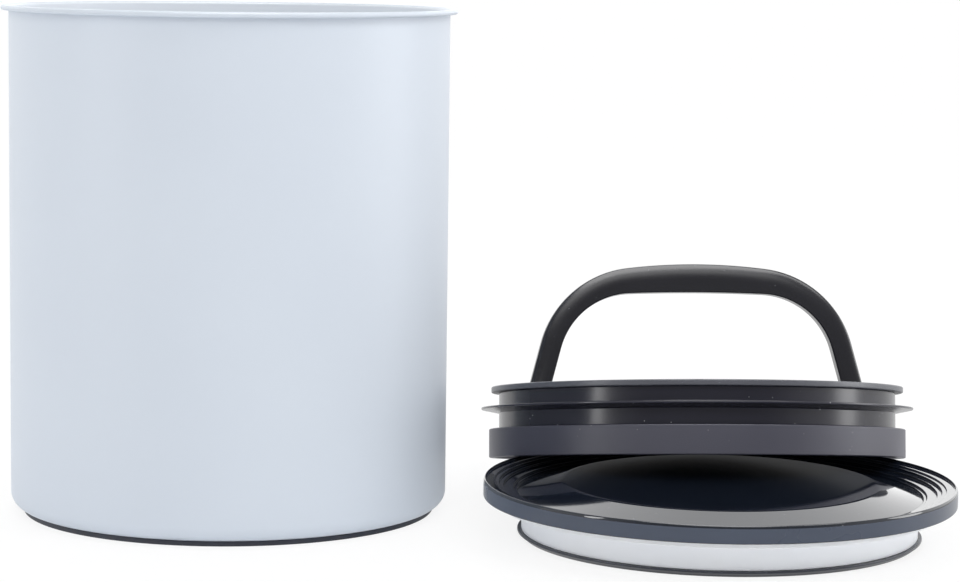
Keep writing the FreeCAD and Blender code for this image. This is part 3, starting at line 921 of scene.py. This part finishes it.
def lay_floor():
    """A white table that is mostly plain white to the camera and in reflections."""
    bpy.ops.object.select_all(action="DESELECT")
    bpy.ops.mesh.primitive_plane_add(size=FLOOR_SIZE_M, location=(0, 0, 0))
    floor = bpy.context.object
    floor.name = "floor"
    material, tree, output, _ = new_material("white_table")
    cloth = add(tree, "ShaderNodeBsdfPrincipled", {
        "Base Color": linear(WHITE), "Roughness": FLOOR_ROUGHNESS})
    white = add(tree, "ShaderNodeEmission", {"Color": linear(WHITE), "Strength": 1.0})
    ray = add(tree, "ShaderNodeLightPath")
    straight = add(tree, "ShaderNodeMath", {
        0: ray.outputs["Is Camera Ray"], 1: ray.outputs["Is Transmission Ray"]}, operation="MAXIMUM")
    seen = add(tree, "ShaderNodeMath", {
        0: straight.outputs["Value"], 1: ray.outputs["Is Glossy Ray"]}, operation="MAXIMUM")
    share = add(tree, "ShaderNodeMath", {0: seen.outputs["Value"], 1: FLOOR_WHITENING}, operation="MULTIPLY")
    mix = add(tree, "ShaderNodeMixShader", {0: share.outputs["Value"]})
    tree.links.new(cloth.outputs["BSDF"], mix.inputs[1])
    tree.links.new(white.outputs["Emission"], mix.inputs[2])
    tree.links.new(mix.outputs["Shader"], output.inputs["Surface"])
    dress(floor, material)
    print(f"floor: {FLOOR_SIZE_M:.0f} m square")


lay_floor()

# %% [markdown]
# ## The light tent
# The world is the tent. A direction's X, Y and Z say where on the cloth a ray ends, so smooth ramps
# over them paint it: dim low down at the front, which leaves the faces that look at the camera dark
# and glossy, and brighter behind and at the sides. In reflections the back is brighter still, so the
# dark plastics shine where they are seen at a slant, and the pale coat isn't washed out.

# %% Light the world
TENT_LEVEL = 0.7
BACK_LEVEL = 1.2
BACK_SHINE = 2.0
OPENING_LEVEL = 0.4
WALL_LIFT = 0.5
FRONT_RAMP = (-0.9, -0.2)
LOW_RAMP = (0.35, 0.7)
BACK_RAMP = (-0.1, 0.8)
WALL_RAMP = (0.6, 1.0)


def light_world():
    """White where the camera looks past the object, and the painted tent for every other ray."""
    world = bpy.data.worlds.new("light_tent")
    world.use_nodes = True
    tree = world.node_tree
    tree.nodes.clear()
    way = add(tree, "ShaderNodeTexCoord").outputs["Generated"]
    split = add(tree, "ShaderNodeSeparateXYZ", {"Vector": way})
    front = add(tree, "ShaderNodeMapRange", {
        "Value": split.outputs["Y"], "From Min": FRONT_RAMP[0], "From Max": FRONT_RAMP[1],
        "To Min": 1.0, "To Max": 0.0}, interpolation_type="SMOOTHSTEP")
    low = add(tree, "ShaderNodeMapRange", {
        "Value": split.outputs["Z"], "From Min": LOW_RAMP[0], "From Max": LOW_RAMP[1],
        "To Min": 1.0, "To Max": 0.0}, interpolation_type="SMOOTHSTEP")
    opening = add(tree, "ShaderNodeMath", {
        0: front.outputs["Result"], 1: low.outputs["Result"]}, operation="MULTIPLY")
    ray = add(tree, "ShaderNodeLightPath")
    behind = add(tree, "ShaderNodeMapRange", {
        "Value": ray.outputs["Is Glossy Ray"], "To Min": BACK_LEVEL, "To Max": BACK_SHINE})
    back = add(tree, "ShaderNodeMapRange", {
        "Value": split.outputs["Y"], "From Min": BACK_RAMP[0], "From Max": BACK_RAMP[1],
        "To Min": TENT_LEVEL, "To Max": behind.outputs["Result"]}, interpolation_type="SMOOTHSTEP")
    level = add(tree, "ShaderNodeMapRange", {
        "Value": opening.outputs["Value"], "To Min": back.outputs["Result"], "To Max": OPENING_LEVEL})
    side = add(tree, "ShaderNodeMath", {0: split.outputs["X"]}, operation="ABSOLUTE")
    walls = add(tree, "ShaderNodeMapRange", {
        "Value": side.outputs["Value"], "From Min": WALL_RAMP[0], "From Max": WALL_RAMP[1],
        "To Min": 0.0, "To Max": WALL_LIFT}, interpolation_type="SMOOTHSTEP")
    total = add(tree, "ShaderNodeMath", {
        0: level.outputs["Result"], 1: walls.outputs["Result"]}, operation="ADD")
    tent = add(tree, "ShaderNodeBackground", {
        "Color": linear(WHITE), "Strength": total.outputs["Value"]})
    seen = add(tree, "ShaderNodeBackground", {"Color": linear(WHITE), "Strength": 1.0})
    mix = add(tree, "ShaderNodeMixShader", {0: ray.outputs["Is Camera Ray"]})
    tree.links.new(tent.outputs["Background"], mix.inputs[1])
    tree.links.new(seen.outputs["Background"], mix.inputs[2])
    add(tree, "ShaderNodeOutputWorld", {"Surface": mix.outputs["Shader"]})
    scene.world = world
    print("world:", world.name, "with", len(tree.nodes), "nodes")


light_world()

# %% [markdown]
# ## Lamps
# Two soft boxes light everything: the key, high at the front, and a fill from the right that shapes
# the canister. The other three are hidden from diffuse rays, so they show only as highlights on the
# dark lids, as strips of brighter cloth do. Each faces the lids.

# %% Hang the lamps
SUBJECT = (0.19, 0.0, 0.04)


def soft_box(name, at, size, power, lights_matt):
    """Oval area lamp that faces the lids; place and size are in metres, power in watts."""
    lamp = bpy.data.lights.new(name, "AREA")
    lamp.shape = "ELLIPSE"
    lamp.size, lamp.size_y = size
    lamp.energy = power
    holder = bpy.data.objects.new(name, lamp)
    holder.location = at
    holder.rotation_euler = (Vector(SUBJECT) - Vector(at)).to_track_quat("-Z", "Y").to_euler()
    holder.visible_diffuse = lights_matt
    scene.collection.objects.link(holder)
    print(f"{name}: {power} W")


for name, at, size, power, lights_matt in (
        ("key_box", (0.1, -1.6, 1.3), (1.6, 0.7), 6.4, True),
        ("right_fill", (0.95, -0.45, 1.15), (0.5, 0.5), 3.6, True),
        ("right_box", (1.4, 0.05, 0.35), (0.5, 0.7), 5.0, False),
        ("left_box", (-0.95, -0.57, 0.4), (0.2, 0.7), 3.0, False),
        ("top_box", (0.15, -0.5, 1.5), (1.4, 1.6), 36.0, False)):
    soft_box(name, at, size, power, lights_matt)

# %% [markdown]
# ## Finish
# The view layer is brought up to date at the end.

# %% Finish
bpy.context.view_layer.update()
